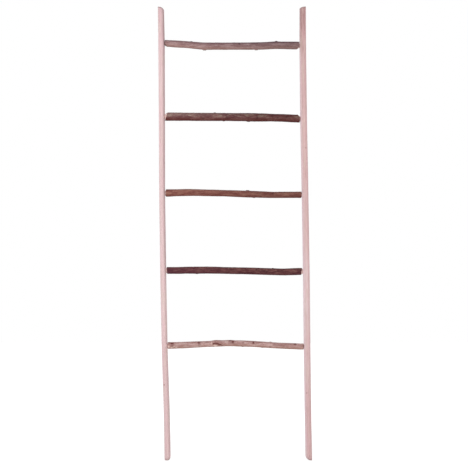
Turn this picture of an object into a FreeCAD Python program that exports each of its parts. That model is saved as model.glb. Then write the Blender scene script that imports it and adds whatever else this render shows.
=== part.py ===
import FreeCAD, Part
import os

import Sketcher
from FreeCAD import Placement, Rotation, Vector

# A rustic blanket ladder. Two half-round peeled poles, each with its sawn flat face outwards,
# carry five lengths of branch with the bark left on. Each branch is pared to a round tenon at
# both ends and glued into a blind bore in the round side of each rail.
#
# Millimetres. +X to the right, +Y to the back, +Z up. The origin is on the floor, midway
# between the rails. Rungs count from the top, and so do the joints in each rail.

document = FreeCAD.newDocument("blanket_ladder")
sheet = document.addObject("Spreadsheet::Sheet", "Sizes")

RUNGS = (1, 2, 3, 4, 5)
SIDES = ("left", "right")
LEVELS = ("foot", "shin", 5, 4, 3, 2, 1, "top")
BEVELS = (90, 45, 0)

LADDER = {
    "outer_width": (585.5, "across the rails' flat faces, before their drift"),
    "shin_height": (200.0, "floor to the bend below the lowest rung"),
    "lowest_rung": (455.0, "floor to the left end of rung 5"),
    "pitch_4": (298.0, "rung 5 to rung 4, at the left rail"),
    "pitch_3": (307.0, "rung 4 to rung 3"),
    "pitch_2": (304.0, "rung 3 to rung 2"),
    "pitch_1": (291.0, "rung 2 to rung 1"),
    "horn": (145.0, "rung 1 to the rails' tops"),
    "ease_width": (9.5, "easing of a rail's ends, off its round side"),
    "ease_height": (12.0, "height of the same easing"),
    "joint_land": (9.0, "straight stretch of a rail, each way from the middle of a joint"),
    "web": (8.0, "wood left between a bore's bottom and the rail's flat face"),
    "tenon_diameter": (16.0, "pared tenons"),
    "tenon_fit": (0.1, "clearance round a tenon in its bore"),
    "tip_gap": (0.5, "glue gap at a tenon's tip"),
    "seat_gap": (0.3, "clearance between a pared shoulder and the rail"),
    "run_out": (3.0, "how far a cutter reaches outside the wood"),
}

# A rail at the floor, at its bend below the rungs, at each of its joints and at its top: how
# far the flat face has drifted to the right of the straight upright line, and how thick the
# half-round is there.
RAILS = {
    "left": {
        "depth": 48.0,
        "drift": (13.7, 10.5, 2.3, -3.6, -7.5, -9.1, -11.0, -13.0),
        "thickness": (24.5, 24.0, 23.5, 24.0, 23.5, 24.5, 25.5, 24.5),
    },
    "right": {
        "depth": 51.0,
        "drift": (13.0, 9.4, 6.4, 3.3, -1.5, -7.2, -11.0, -11.7),
        "thickness": (26.0, 25.8, 26.4, 26.5, 26.5, 27.0, 26.0, 25.0),
    },
}

# A branch from its left end to its right end. drop: how much lower its right end sits.
# ends: diameters over the bark where the bark stops. bare: how far from the left and the
# right rail the bark stops, each along the top and along the bottom of the branch. bends: the
# share of the span, the rise and the push to the back off the straight line, and the diameter
# over the bark.
BRANCHES = {
    1: {
        "drop": 9.0,
        "bark": 1.8,
        "ends": (28.0, 31.0),
        "bare": ((0.6, 7.5), (1.6, 9.5)),
        "bends": (
            (0.15, -3.4, 2.0, 27.2),
            (0.29, -8.7, 3.5, 29.0),
            (0.50, -6.3, 1.5, 28.8),
            (0.69, -4.9, -2.0, 30.0),
            (0.83, -0.2, -3.0, 30.0),
        ),
    },
    2: {
        "drop": 8.0,
        "bark": 2.0,
        "ends": (32.6, 30.8),
        "bare": ((8.0, 2.8), (8.5, 1.6)),
        "bends": (
            (0.22, 0.9, -2.5, 32.6),
            (0.42, 2.0, -1.5, 31.6),
            (0.63, 2.6, 2.0, 33.2),
            (0.80, 2.2, 2.5, 31.0),
        ),
    },
    3: {
        "drop": 6.0,
        "bark": 1.8,
        "ends": (30.4, 25.2),
        "bare": ((3.2, 3.2), (1.2, 4.0)),
        "bends": (
            (0.07, 2.0, 0.5, 28.6),
            (0.17, 4.1, 2.0, 27.9),
            (0.42, 2.8, 2.0, 25.7),
            (0.63, -0.4, -1.5, 26.9),
            (0.78, -2.1, -2.5, 25.2),
        ),
    },
    4: {
        "drop": 3.5,
        "bark": 1.8,
        "ends": (26.6, 28.0),
        "bare": ((4.6, 6.4), (5.0, 8.3)),
        "bends": (
            (0.20, 2.1, -2.0, 28.3),
            (0.36, 2.6, -1.5, 27.4),
            (0.63, 0.0, 2.0, 27.4),
            (0.86, -2.9, 1.5, 27.1),
        ),
    },
    5: {
        "drop": 4.0,
        "bark": 1.2,
        "ends": (26.5, 23.7),
        "bare": ((0.6, 1.5), (0.6, 1.0)),
        "bends": (
            (0.13, 2.7, 1.5, 25.8),
            (0.30, 7.6, 2.5, 24.8),
            (0.45, 12.0, 1.0, 25.5),
            (0.64, 8.8, -2.0, 24.0),
            (0.83, 2.6, -2.0, 23.8),
        ),
    },
}


def add_size(alias, value, meaning):
    """A row of the sheet: the size's name, its value and what it measures."""
    add_size.row += 1
    sheet.set(f"A{add_size.row}", alias)
    sheet.set(f"B{add_size.row}", str(value))
    sheet.set(f"C{add_size.row}", meaning)
    sheet.setAlias(f"B{add_size.row}", alias)


add_size.row = 0


def fill_sheet():
    """Every driving size, each in a cell of its own."""
    for alias, (value, meaning) in LADDER.items():
        add_size(alias, value, meaning)
    for side, rail in RAILS.items():
        add_size(f"{side}_depth", rail["depth"], f"{side} rail, front to back")
        for level, drift, thickness in zip(LEVELS, rail["drift"], rail["thickness"]):
            add_size(f"{side}_drift_{level}", drift, f"{side} rail's flat face at {level}")
            add_size(f"{side}_thickness_{level}", thickness, f"{side} rail at {level}")
    for rung, branch in BRANCHES.items():
        add_size(f"drop_{rung}", branch["drop"], f"rung {rung}'s right end below its left")
        add_size(f"bark_{rung}", branch["bark"], f"rung {rung}'s bark, thickness")
        for side, diameter, (top, bottom) in zip(SIDES, branch["ends"], branch["bare"]):
            add_size(f"end_{side}_{rung}", diameter, f"rung {rung} at the {side} rail")
            add_size(f"bare_{side}_top_{rung}", top, "rail to bark, along the top")
            add_size(f"bare_{side}_bottom_{rung}", bottom, "rail to bark, along the bottom")
        for bend, (share, rise, push, diameter) in enumerate(branch["bends"], 1):
            add_size(f"share_{rung}_{bend}", share, f"rung {rung}, bend {bend}: share of the span")
            add_size(f"rise_{rung}_{bend}", rise, "above the straight line")
            add_size(f"push_{rung}_{bend}", push, "behind the straight line")
            add_size(f"girth_{rung}_{bend}", diameter, "diameter over the bark")
    document.recompute()


def size(alias):
    """How an expression names a cell of the sheet."""
    return f"Sizes.{alias}"


def rail_height(level):
    """Floor to a joint of the left rail, to its foot, its bend below the rungs or its top."""
    if level == "foot":
        return "0"
    if level == "shin":
        return size("shin_height")
    height = size("lowest_rung")
    for rung in (4, 3, 2, 1):
        if level == "top" or level <= rung:
            height += f" + {size(f'pitch_{rung}')}"
    return f"{height} + {size('horn')}" if level == "top" else height


def joint_height(side, rung):
    """Floor to the middle of a rung's tenon. The right ends sit a little lower."""
    height = rail_height(rung)
    return f"{height} - {size(f'drop_{rung}')}" if side == "right" else height


def level_height(side, level):
    """Floor to a section of a rail. Only the joints differ from side to side."""
    return joint_height(side, level) if level in RUNGS else rail_height(level)


def local_drift(side, level):
    """A rail's drift in its own frame, where +X points from its flat face to the rungs."""
    drift = size(f"{side}_drift_{level}")
    return drift if side == "left" else f"-{drift}"


def face_place(side, level):
    """Where a rail's flat face is in X. Half the width, plus the pole's drift."""
    half = "-" if side == "left" else ""
    return f"({half}{size('outer_width')} / 2 + {size(f'{side}_drift_{level}')})"


def rung_span(rung):
    """Clear distance between the rails' round sides at a rung."""
    rails = " - ".join(size(f"{side}_thickness_{rung}") for side in SIDES)
    return f"({face_place('right', rung)} - {face_place('left', rung)} - {rails})"


def bind(thing, expressions):
    for path, expression in expressions.items():
        thing.setExpression(path, expression)


def new_body(label):
    body = document.addObject("PartDesign::Body", label)
    body.Label = label
    return body


def new_sketch(body, name, plane_role):
    """An empty sketch on one of the body's own planes."""
    sketch = body.newObject("Sketcher::SketchObject", name)
    planes = [plane for plane in body.Origin.OriginFeatures if plane.Role == plane_role]
    sketch.AttachmentSupport = [(planes[0], "")]
    sketch.MapMode = "FlatFace"
    return sketch


def constrain(sketch, name, expression, *constraint):
    """A named constraint of the sketch, bound to the sizes."""
    number = sketch.addConstraint(Sketcher.Constraint(*constraint))
    sketch.renameConstraint(number, name)
    sketch.setExpression(f"Constraints.{name}", expression)


def half_round_section(body, name, side, level, offset, inset="0"):
    """A rail's section: a straight sawn chord, and an arc on the side of the rungs. It is off
    its level by the offset, and smaller than the pole by the inset all round the arc."""
    sketch = new_sketch(body, f"{name}_{side}_{level}", "XY_Plane")
    half_depth = f"({size(f'{side}_depth')} / 2 - {inset})"
    thickness = f"({size(f'{side}_thickness_{level}')} - {inset})"
    radius = f"(({thickness} ^ 2 + {half_depth} ^ 2) / (2 * {thickness}))"
    front, crown, back = Vector(0, -24, 0), Vector(24, 0, 0), Vector(0, 24, 0)
    sketch.addGeometry(Part.Arc(front, crown, back), False)
    sketch.addGeometry(Part.LineSegment(back, front), False)
    sketch.addConstraint(Sketcher.Constraint("Coincident", 0, 2, 1, 1))
    sketch.addConstraint(Sketcher.Constraint("Coincident", 1, 2, 0, 1))
    sketch.addConstraint(Sketcher.Constraint("PointOnObject", 0, 3, -1))
    sketch.addConstraint(Sketcher.Constraint("PointOnObject", 0, 1, -2))
    sketch.addConstraint(Sketcher.Constraint("PointOnObject", 0, 2, -2))
    constrain(sketch, "middle", f"{thickness} - {radius}", "DistanceX", -1, 1, 0, 3, 0.0)
    constrain(sketch, "radius", radius, "Radius", 0, 24.0)
    bind(sketch, {"AttachmentOffset.Base.x": local_drift(side, level),
                  "AttachmentOffset.Base.z": f"{level_height(side, level)} + {offset}"})
    return sketch


def round_section(body, name, diameter, place, tilt="0"):
    """A circle across a rung. The place is along, back and up, and the tilt is in degrees."""
    sketch = new_sketch(body, name, "YZ_Plane")
    sketch.addGeometry(Part.Circle(Vector(0, 0, 0), Vector(0, 0, 1), 12), False)
    sketch.addConstraint(Sketcher.Constraint("Coincident", 0, 3, -1, 1))
    constrain(sketch, "diameter", diameter, "Diameter", 0, 24.0)
    sketch.AttachmentOffset = Placement(Vector(), Rotation(Vector(1, 0, 0), 90))
    along, back, up = place
    bind(sketch, {"AttachmentOffset.Base.x": back,
                  "AttachmentOffset.Base.y": up,
                  "AttachmentOffset.Base.z": along,
                  "AttachmentOffset.Rotation.Angle": tilt})
    return sketch


def loft_through(body, kind, name, sections):
    loft = body.newObject(kind, name)
    loft.Profile = sections[0]
    loft.Sections = sections[1:]
    loft.Ruled = True


def eased_sections(body, side, level):
    """The sections of a rail's eased end, from its cut face to the full pole."""
    inwards = "-" if level == "top" else ""
    return [
        half_round_section(body, f"bevel_{angle}", side, level,
                           f"{inwards}{size('ease_height')} * (1 - sin({angle}))",
                           f"{size('ease_width')} * (1 - cos({angle}))")
        for angle in BEVELS
    ]


def drill(body, side, rung):
    """A blind bore, from its bottom out through the rail's round side."""
    place = (f"{local_drift(side, rung)} + {size('web')}", "0", joint_height(side, rung))
    diameter = f"{size('tenon_diameter')} + 2 * {size('tenon_fit')}"
    bore = body.newObject("PartDesign::Pocket", f"bore_{side}_{rung}")
    bore.Profile = round_section(body, f"bore_{side}_{rung}_outline", diameter, place)
    bore.Reversed = True
    bind(bore, {"Length": f"{size(f'{side}_thickness_{rung}')} - {size('web')} + {size('run_out')}"})


def make_rail(side):
    """A half-round pole, straight at its joints, with eased ends and five blind bores."""
    body = new_body(f"rail_{side}")
    land = size("joint_land")
    sections = eased_sections(body, side, "foot")
    sections.append(half_round_section(body, "bend", side, "shin", "0"))
    for rung in reversed(RUNGS):
        sections.append(half_round_section(body, "below", side, rung, f"-{land}"))
        sections.append(half_round_section(body, "above", side, rung, land))
    sections += reversed(eased_sections(body, side, "top"))
    loft_through(body, "PartDesign::AdditiveLoft", f"pole_{side}", sections)
    for rung in RUNGS:
        drill(body, side, rung)
    if side == "right":
        body.Placement = Placement(Vector(), Rotation(Vector(0, 0, 1), 180))
    half = f"{size('outer_width')} / 2"
    bind(body, {"Placement.Base.x": f"-{half}" if side == "left" else half})
    return body


def along_rung(side, rung, distance):
    """A distance from one rail's round side towards the other, as a place along the rung."""
    return f"({distance})" if side == "left" else f"({rung_span(rung)} - ({distance}))"


def end_level(side, rung):
    """How high a rung's end is above its left end."""
    return "0" if side == "left" else f"-{size(f'drop_{rung}')}"


def branch_sections(body, rung, layer, less):
    """The branch between the slanted ends of its bark, with less taken off its diameters."""
    span, drop = rung_span(rung), size(f"drop_{rung}")
    ends = {}
    for side in SIDES:
        top, bottom = (size(f"bare_{side}_{edge}_{rung}") for edge in ("top", "bottom"))
        girth = size(f"end_{side}_{rung}")
        sign = "-" if side == "left" else ""
        place = (along_rung(side, rung, f"({top} + {bottom}) / 2"), "0", end_level(side, rung))
        ends[side] = round_section(body, f"{layer}_{rung}_{side}", f"{girth} - {less}", place,
                                   f"{sign}atan(({bottom} - {top}) / {girth})")
    bends = []
    for bend in range(1, len(BRANCHES[rung]["bends"]) + 1):
        share = size(f"share_{rung}_{bend}")
        place = (f"{span} * {share}",
                 size(f"push_{rung}_{bend}"),
                 f"{size(f'rise_{rung}_{bend}')} - {drop} * {share}")
        diameter = f"{size(f'girth_{rung}_{bend}')} - {less}"
        bends.append(round_section(body, f"{layer}_{rung}_{bend}", diameter, place))
    return [ends["left"], *bends, ends["right"]]


def tenon_sections(body, side, rung):
    """A tenon's tip, near its bore's bottom, and its neck, where the shoulder starts."""
    thickness, web, gap = size(f"{side}_thickness_{rung}"), size("web"), size("tip_gap")
    tip = (along_rung(side, rung, f"{web} + {gap} - {thickness}"), "0", end_level(side, rung))
    neck = (along_rung(side, rung, size("seat_gap")), "0", end_level(side, rung))
    diameter = size("tenon_diameter")
    return [round_section(body, f"tip_{side}_{rung}", diameter, tip),
            round_section(body, f"neck_{side}_{rung}", diameter, neck)]


def put_at_rung(body, rung):
    """A rung's own origin is where its axis meets the left rail's round side."""
    left_end = f"{face_place('left', rung)} + {size(f'left_thickness_{rung}')}"
    bind(body, {"Placement.Base.x": left_end, "Placement.Base.z": rail_height(rung)})


def make_rung(rung):
    """The branch's wood: tenon, pared shoulder, branch, pared shoulder, tenon."""
    body = new_body(f"rung_{rung}")
    wood = branch_sections(body, rung, "wood", f"2 * {size(f'bark_{rung}')}")
    left, right = (tenon_sections(body, side, rung) for side in SIDES)
    loft_through(body, "PartDesign::AdditiveLoft", f"branch_{rung}", [*left, *wood, *right[::-1]])
    put_at_rung(body, rung)
    return body


def make_bark(rung):
    """The bark left on a branch: its outer form, emptied of the wood."""
    body = new_body(f"bark_{rung}")
    skin = branch_sections(body, rung, "skin", "0")
    loft_through(body, "PartDesign::AdditiveLoft", f"outside_{rung}", skin)
    hollow = branch_sections(body, rung, "hollow", f"2 * {size(f'bark_{rung}')}")
    loft_through(body, "PartDesign::SubtractiveLoft", f"inside_{rung}", hollow)
    put_at_rung(body, rung)
    return body


def check_and_write(pieces):
    """Stops at a failed feature or a bad solid, then writes one file for each piece."""
    document.recompute()
    for thing in document.Objects:
        if "Invalid" in thing.State or "Error" in thing.State:
            raise RuntimeError(f"{thing.Name} failed: {thing.State}")
    for piece in pieces:
        shape = piece.Shape
        if shape.isNull() or not shape.isValid() or len(shape.Solids) != 1:
            raise RuntimeError(f"{piece.Label} isn't one valid solid")
    os.makedirs("parts", exist_ok=True)
    for piece in pieces:
        piece.Shape.exportStep(f"parts/{piece.Label}.step")
        print(f"{piece.Label}: {piece.Shape.Volume / 1000:.1f} cm3")


fill_sheet()
rails = [make_rail(side) for side in SIDES]
rungs = [make_rung(rung) for rung in RUNGS]
barks = [make_bark(rung) for rung in RUNGS]
check_and_write([*rails, *rungs, *barks])
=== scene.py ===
import math

import bpy
import numpy as np
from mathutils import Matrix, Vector
from mathutils.bvhtree import BVHTree


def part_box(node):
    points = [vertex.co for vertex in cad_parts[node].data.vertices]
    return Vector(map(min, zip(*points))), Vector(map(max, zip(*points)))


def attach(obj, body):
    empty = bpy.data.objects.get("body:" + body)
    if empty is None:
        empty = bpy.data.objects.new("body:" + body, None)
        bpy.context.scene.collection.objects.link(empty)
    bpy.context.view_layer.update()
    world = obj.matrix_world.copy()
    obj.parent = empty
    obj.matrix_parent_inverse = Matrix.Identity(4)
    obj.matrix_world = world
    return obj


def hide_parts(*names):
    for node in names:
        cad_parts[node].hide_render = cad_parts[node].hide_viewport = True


# The looks of a rustic blanket ladder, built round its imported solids. Metres, +X to the right,
# +Y to the back, +Z up. Rungs count from the top. A turn round a branch is in degrees from
# straight up, towards the front.

MM = 0.001
SIDES = ("left", "right")
INWARDS = {"left": 1, "right": -1}
RUNGS = (1, 2, 3, 4, 5)

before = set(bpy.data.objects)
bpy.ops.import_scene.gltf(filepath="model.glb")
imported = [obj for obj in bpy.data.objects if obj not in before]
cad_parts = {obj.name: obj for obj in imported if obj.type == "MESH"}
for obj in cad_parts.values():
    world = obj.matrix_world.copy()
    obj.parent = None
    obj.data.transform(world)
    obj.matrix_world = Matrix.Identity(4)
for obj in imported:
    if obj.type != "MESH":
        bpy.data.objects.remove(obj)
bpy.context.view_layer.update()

# ---------------------------------------------------------------- the photograph's framing

PHOTO_PIXELS = 468
MM_PER_PIXEL = 3.97
PHOTO_MIDDLE = (-3.7 * MM, 898 * MM)
CAMERA_DISTANCE = 14.0
SENSOR_WIDTH = 36.0

# ---------------------------------------------------------------- surfaces in numbers

# Reading the solids: where rays start, how close the lines' points are, how much they are
# evened out, and what is left out at the bark's slanted ends, at the shoulders and at the bores.
RAY_START = 100 * MM
LINE_STEP, LINE_SMOOTHING = 2 * MM, 9 * MM
POLE_STEP, POLE_READING, POLE_SMOOTHING = 2 * MM, 10 * MM, 30 * MM
SLANT_MARGIN, SHOULDER_MARGIN, BORE_MARGIN = 12 * MM, 60 * MM, 24 * MM
SAME_PLACE = 0.01 * MM
SOLID_EASE = 12 * MM

# Branches.
BARK_RINGS, BARK_COLUMNS, HOLLOW_RINGS = 640, 96, 80
WOOD_COLUMNS, SHOULDER_RINGS = 72, 12
LEAN_REACH = 25 * MM
BARK_EDGE_WEAR = 0.7 * MM
THINNEST_BARK = 0.25 * MM
SEAT_GAP = 0.3 * MM
TENON_CHAMFER = 1.2 * MM
WOOD_CLEARANCE = 0.05 * MM
BROWN_DEPTH = 2 * MM
SHOULDER_FULLNESS = 0.85
KNIFE_CUTS, KNIFE_WANDER = 9, 0.12
SCAR_SLOPE = 0.24

# Poles. Their ends are also eased across, by a share of the wear inwards. The hollows worn in
# their round side are pulled towards a core line, at a depth under the flat face.
ARC_POINTS, FLAT_POINTS, CORNER_POINTS, EASE_RINGS = 52, 20, 4, 18
CORNER_RADIUS = 0.9 * MM
POLE_CLEARANCE = 0.05 * MM
EASE_ACROSS = 0.3
CORE_DEPTH = 9 * MM
BROAD_HOLLOW, FINE_HOLLOW = 0.22 * MM, 0.10 * MM
POLE_SEED = 900

# From this angle on, in degrees, an edge is sharp.
BARK_CREASE, WOOD_CREASE, POLE_CREASE = 55, 50, 38

# How far a pole is worn off towards its ends: its round side inwards and along the pole, and
# its other edges.
EASES = {
    "left": {"foot": (11 * MM, 19 * MM, 6 * MM), "top": (19.5 * MM, 18.5 * MM, 2.4 * MM)},
    "right": {"foot": (20.5 * MM, 21 * MM, 2.4 * MM), "top": (18 * MM, 10.5 * MM, 2.4 * MM)},
}

# How high each bark's undulation, lengthwise wrinkles, crosswise wrinkles and flakes are, in
# millimetres.
BARK_HEIGHTS = {
    1: (0.55, 0.22, 0.06, 0.10),
    2: (0.60, 0.26, 0.10, 0.30),
    3: (0.45, 0.16, 0.07, 0.10),
    4: (0.50, 0.20, 0.08, 0.16),
    5: (0.60, 0.18, 0.08, 0.16),
}

# What grew on each bark or marks it: kind, place along X, turn, half length, half width and
# height, all in millimetres but the turn, which is in degrees.
BARK_MARKS = {
    1: (
        ("knot", -274, 26, 5, 5.5, 0.0), ("bud", -173, 8, 4, 4, 1.4),
        ("stub", -121, 176, 6, 6, 2.6), ("knot", 17, 55, 4.5, 4, 0.7),
        ("stub", 85, 172, 6, 6, 2.2), ("bud", 164, 6, 5, 4, 2.6),
        ("knot", -60, 250, 4, 4, 1.0), ("bud", 210, 110, 4, 3, 0.9),
        ("stub", -215, 300, 6, 6, 1.8),
    ),
    2: (
        ("bud", -80, 4, 5, 5, 1.8), ("bud", -44, 178, 5, 5, 1.8),
        ("stub", 53, 182, 6, 6, 2.0), ("blotch", -128, 120, 8, 5, 0.0),
        ("blotch", -32, 96, 7, 6, 0.0), ("blotch", 88, 92, 5, 10, 0.0),
        ("blotch", 100, 40, 9, 4, 0.0), ("blotch", 148, 68, 6, 5, 0.2),
        ("blotch", 169, 90, 6, 4, 0.2), ("blotch", 206, 78, 7, 5, 0.0),
        ("blotch", -268, 165, 6, 6, 0.0), ("knot", -190, 215, 4, 3, 0.8),
        ("stub", 120, 250, 6, 6, 2.0),
    ),
    3: (
        ("stub", 51, 4, 6, 5, 2.4), ("bud", 75, 176, 5, 4, 1.5),
        ("blotch", 149, 62, 6, 4.5, 0.2), ("blotch", 103, 125, 6, 4, 0.2),
        ("knot", -160, 215, 4, 3, 0.8), ("bud", -70, 200, 4, 3, 1.0),
        ("stub", 180, 270, 5, 5, 1.8),
    ),
    4: (
        ("bud", -150, 190, 4, 4, 1.3), ("blotch", -160, 14, 7, 5, 0.3),
        ("blotch", -112, 12, 6, 5, 0.3), ("blotch", 2, 16, 6, 5, 0.3),
        ("knot", 84, 60, 4, 3.5, 0.6), ("bud", 150, 350, 4, 4, 1.2),
        ("stub", -40, 260, 5, 5, 1.8),
    ),
    5: (
        ("knot", -250, 52, 10, 6.5, 0.9), ("blotch", -255, 42, 17, 8, 0.2),
        ("peel", -264, 116, 7, 7, -0.5), ("peel", -252, 128, 6, 4.5, -0.3),
        ("peel", -243, 112, 5, 4, -0.3), ("peel", -232, 126, 6, 4, -0.3),
        ("blotch", -248, 98, 9, 5, 0.0), ("knot", -143, 60, 7, 5.5, 0.8),
        ("blotch", -144, 42, 13, 6, 0.4), ("blotch", -142, 98, 7, 8, 0.3),
        ("blotch", -112, 52, 12, 5, 0.3), ("peel", -92, 78, 4.5, 5, 0.4),
        ("swell", -75, 10, 22, 17, 2.3), ("knot", -85, 88, 5, 4.5, 0.3),
        ("scar", -73, 92, 15, 4.6, -0.8), ("scar", -61, 112, 18, 3.4, -0.7),
        ("peel", -77, 130, 10, 6.0, 0.7), ("blotch", -16, 50, 16, 11, 0.3),
        ("knot", -18, 38, 9, 5, 0.5), ("knot", -8, 66, 8, 6.5, 1.2),
        ("blotch", 32, 70, 6, 6, 0.4), ("bud", 31, 177, 5, 4, 1.2),
        ("knot", 73, 60, 5.5, 7, 1.2), ("bud", 109, 176, 4, 4, 1.1),
        ("bud", 141, 5, 6, 5, 1.7), ("blotch", 140, 128, 6, 5, 0.3),
        ("knot", 239, 46, 7, 5.5, 1.1), ("stub", -30, 255, 6, 6, 2.0),
        ("knot", 190, 230, 5, 5, 1.2),
    ),
}

# Bark ends that aren't cut straight: the cut leans only below or only above this level, as a
# share of the branch's radius.
KNEES = {
    (1, "left"): ("below", 0.0),
    (1, "right"): ("below", -0.25),
    (2, "right"): ("above", 0.25),
}

# How brown the cut wood is between a branch's bark and a pole, from 0, pale, to 1.
SHOULDER_BROWNS = {(1, "left"): 1.0, (2, "right"): 0.2, (3, "left"): 0.35, (5, "right"): 0.6}

# How much nearer to its pole a bark's end is than the solid's, at its top and at its bottom, in
# millimetres.
REACHES = {
    (1, "left"): (0.45, -0.6), (1, "right"): (1.3, 0.0),
    (2, "left"): (-0.6, 2.4), (2, "right"): (0.0, 0.6),
    (3, "left"): (0.3, 0.6), (3, "right"): (0.7, 2.4),
    (4, "left"): (2.8, 3.0), (4, "right"): (1.8, 1.0),
    (5, "left"): (0.3, 0.8), (5, "right"): (0.2, 0.5),
}

# A pole's small knots: height in millimetres, turn in degrees from the crown towards the back,
# and size in millimetres.
POLE_KNOTS = {
    "left": ((640, 60, 3.0), (1180, -30, 2.2), (1490, 95, 3.4), (300, -100, 2.6)),
    "right": ((268, -70, 2.4), (860, 40, 3.0), (1240, -95, 2.2), (1560, 80, 3.2)),
}

# ---------------------------------------------------------------- light

WORLD_LIGHT = 0.43
LAMP_TARGET = (0, 0, 0.95)

# The soft boxes: place, width and power.
LAMPS = {
    "key": ((-3.0, -3.8, 2.8), 2.2, 150.0),
    "fill": ((3.4, -3.4, 1.4), 2.6, 56.0),
    "rim": ((0.6, 3.2, 2.8), 2.0, 30.0),
}

# The floor. Near the ladder its glow leaves room for the light and shadow that its grey coat
# shows, and between two distances from the middle the glow rises to white.
FLOOR_SIZE, FLOOR_DROP = 30.0, 0.2 * MM
FLOOR_GLOW, FLOOR_COAT, FLOOR_PAPER = 0.85, 0.25, 0.95
GLOW_RISES = (1.0, 2.6)

# ---------------------------------------------------------------- noise

def lattice(cells, seed):
    """A number from -1 to 1 for each cell of a lattice, always the same one."""
    mixed = (cells[..., 0] * 374761393 + cells[..., 1] * 668265263
             + cells[..., 2] * 1442695041 + seed * 974634777) & 0xFFFFFFFF
    mixed = ((mixed ^ (mixed >> 13)) * 1274126177) & 0xFFFFFFFF
    mixed = mixed ^ (mixed >> 16)
    return mixed / 0x7FFFFFFF - 1


def noise(points, cell, seed):
    """Smooth noise from -1 to 1 at points. The cell is its grain in X, Y and Z, in metres."""
    scaled = points / np.array(cell)
    corner = np.floor(scaled).astype(np.int64)
    part = scaled - corner
    part = part * part * (3 - 2 * part)
    total = 0
    for dx in (0, 1):
        for dy in (0, 1):
            for dz in (0, 1):
                weight = (abs(1 - dx - part[..., 0]) * abs(1 - dy - part[..., 1])
                          * abs(1 - dz - part[..., 2]))
                total = total + weight * lattice(corner + (dx, dy, dz), seed)
    return total


def fall_off(distance, start, end):
    """1 up to the start, 0 from the end, and smooth between them."""
    share = np.clip((end - distance) / (end - start), 0, 1)
    return share * share * (3 - 2 * share)


# ---------------------------------------------------------------- reading the frame

def surface(node):
    """A node's faces, ready for rays."""
    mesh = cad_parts[node].data
    return BVHTree.FromPolygons([v.co.copy() for v in mesh.vertices],
                                [tuple(p.vertices) for p in mesh.polygons])


def hit(tree, start, direction):
    """Where a ray first meets a surface, or None."""
    return tree.ray_cast(Vector(start), Vector(direction))[0]


def smoothed(values, step, width):
    """Values on an even grid, smoothed over a width, with their ends kept."""
    reach = int(3 * width / step)
    weights = np.exp(-0.5 * (np.arange(-reach, reach + 1) * step / width) ** 2)
    padded = np.pad(values, reach, mode="reflect", reflect_type="odd")
    return np.convolve(padded, weights / weights.sum(), mode="valid")


def branch_line(node, margin):
    """A branch's centre line and radius, read by rays across its node: X, Y, Z, radius."""
    tree = surface(node)
    low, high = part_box(node)
    rows = []
    for x in np.arange(low.x + margin, high.x - margin, LINE_STEP):
        top = hit(tree, (x, 0, high.z + RAY_START), (0, 0, -1)).z
        bottom = hit(tree, (x, 0, low.z - RAY_START), (0, 0, 1)).z
        level = (top + bottom) / 2
        front = hit(tree, (x, low.y - RAY_START, level), (0, 1, 0)).y
        back = hit(tree, (x, high.y + RAY_START, level), (0, -1, 0)).y
        rows.append((x, (front + back) / 2, level, (back - front) / 2))
    line = np.array(rows).T
    for row in line[1:]:
        row[:] = smoothed(row, LINE_STEP, LINE_SMOOTHING)
    return line


def slanted_end(rung, side):
    """Where a bark's end meets its axis, and how far it leans along X per metre of height."""
    node = f"bark_{rung}"
    low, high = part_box(node)
    points = np.array([v.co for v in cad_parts[node].data.vertices])
    at_end = low.x if side == "left" else high.x
    near = points[np.abs(points[:, 0] - at_end) < SLANT_MARGIN]
    top, bottom = near[near[:, 2].argmax()], near[near[:, 2].argmin()]
    outwards = -INWARDS[side] * MM
    above, below = REACHES[rung, side]
    top_x, bottom_x = top[0] + above * outwards, bottom[0] + below * outwards
    lean = (top_x - bottom_x) / (top[2] - bottom[2])
    return (top_x + bottom_x) / 2, lean


# ---------------------------------------------------------------- meshes

def add_piece(name, points, faces, materials, node, crease):
    """A piece of the object that rides on the ladder and stands for a CAD node."""
    mesh = bpy.data.meshes.new(name)
    mesh.from_pydata(points.reshape(-1, 3).tolist(), [], faces)
    for material in materials:
        mesh.materials.append(material)
    mesh.polygons.foreach_set("use_smooth", [True] * len(mesh.polygons))
    mesh.update()
    mesh.set_sharp_from_angle(angle=math.radians(crease))
    piece = bpy.data.objects.new(name, mesh)
    bpy.context.scene.collection.objects.link(piece)
    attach(piece, "root")
    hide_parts(node)
    return piece


def ring_faces(rings, columns, closed):
    """Quads between rings that follow each other, back to the first ring where it is closed."""
    pairs = rings if closed else rings - 1
    ring = np.arange(pairs)[:, None]
    column = np.arange(columns)[None, :]
    after, beside = (ring + 1) % rings, (column + 1) % columns
    quads = np.stack([ring * columns + column, ring * columns + beside,
                      after * columns + beside, after * columns + column], axis=-1)
    return quads.reshape(-1, 4).tolist()


def cap_faces(start, columns, centre, flipped):
    """Triangles from a ring to one point."""
    faces = []
    for column in range(columns):
        corners = (start + column, start + (column + 1) % columns, centre)
        faces.append(corners[::-1] if flipped else corners)
    return faces


def give_mask(piece, name, values):
    """A number for each point, which the materials read."""
    mask = piece.data.attributes.new(name, "FLOAT", "POINT")
    mask.data.foreach_set("value", values.astype(np.float32).ravel())


# ---------------------------------------------------------------- branches

def read_branch(rung):
    """A branch as the frame holds it: its centre line, its bark's slanted ends and thickness."""
    node = f"bark_{rung}"
    wood = branch_line(f"rung_{rung}", SHOULDER_MARGIN)
    bark = branch_line(node, SHOULDER_MARGIN)
    ends = {side: slanted_end(rung, side) for side in SIDES}
    return {
        "rung": rung,
        "line": branch_line(node, SLANT_MARGIN),
        "first": ends["left"][0],
        "last": ends["right"][0],
        "leans": (ends["left"][1], ends["right"][1]),
        "thickness": float(np.mean(bark[3]) - np.mean(wood[3])),
    }


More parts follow.
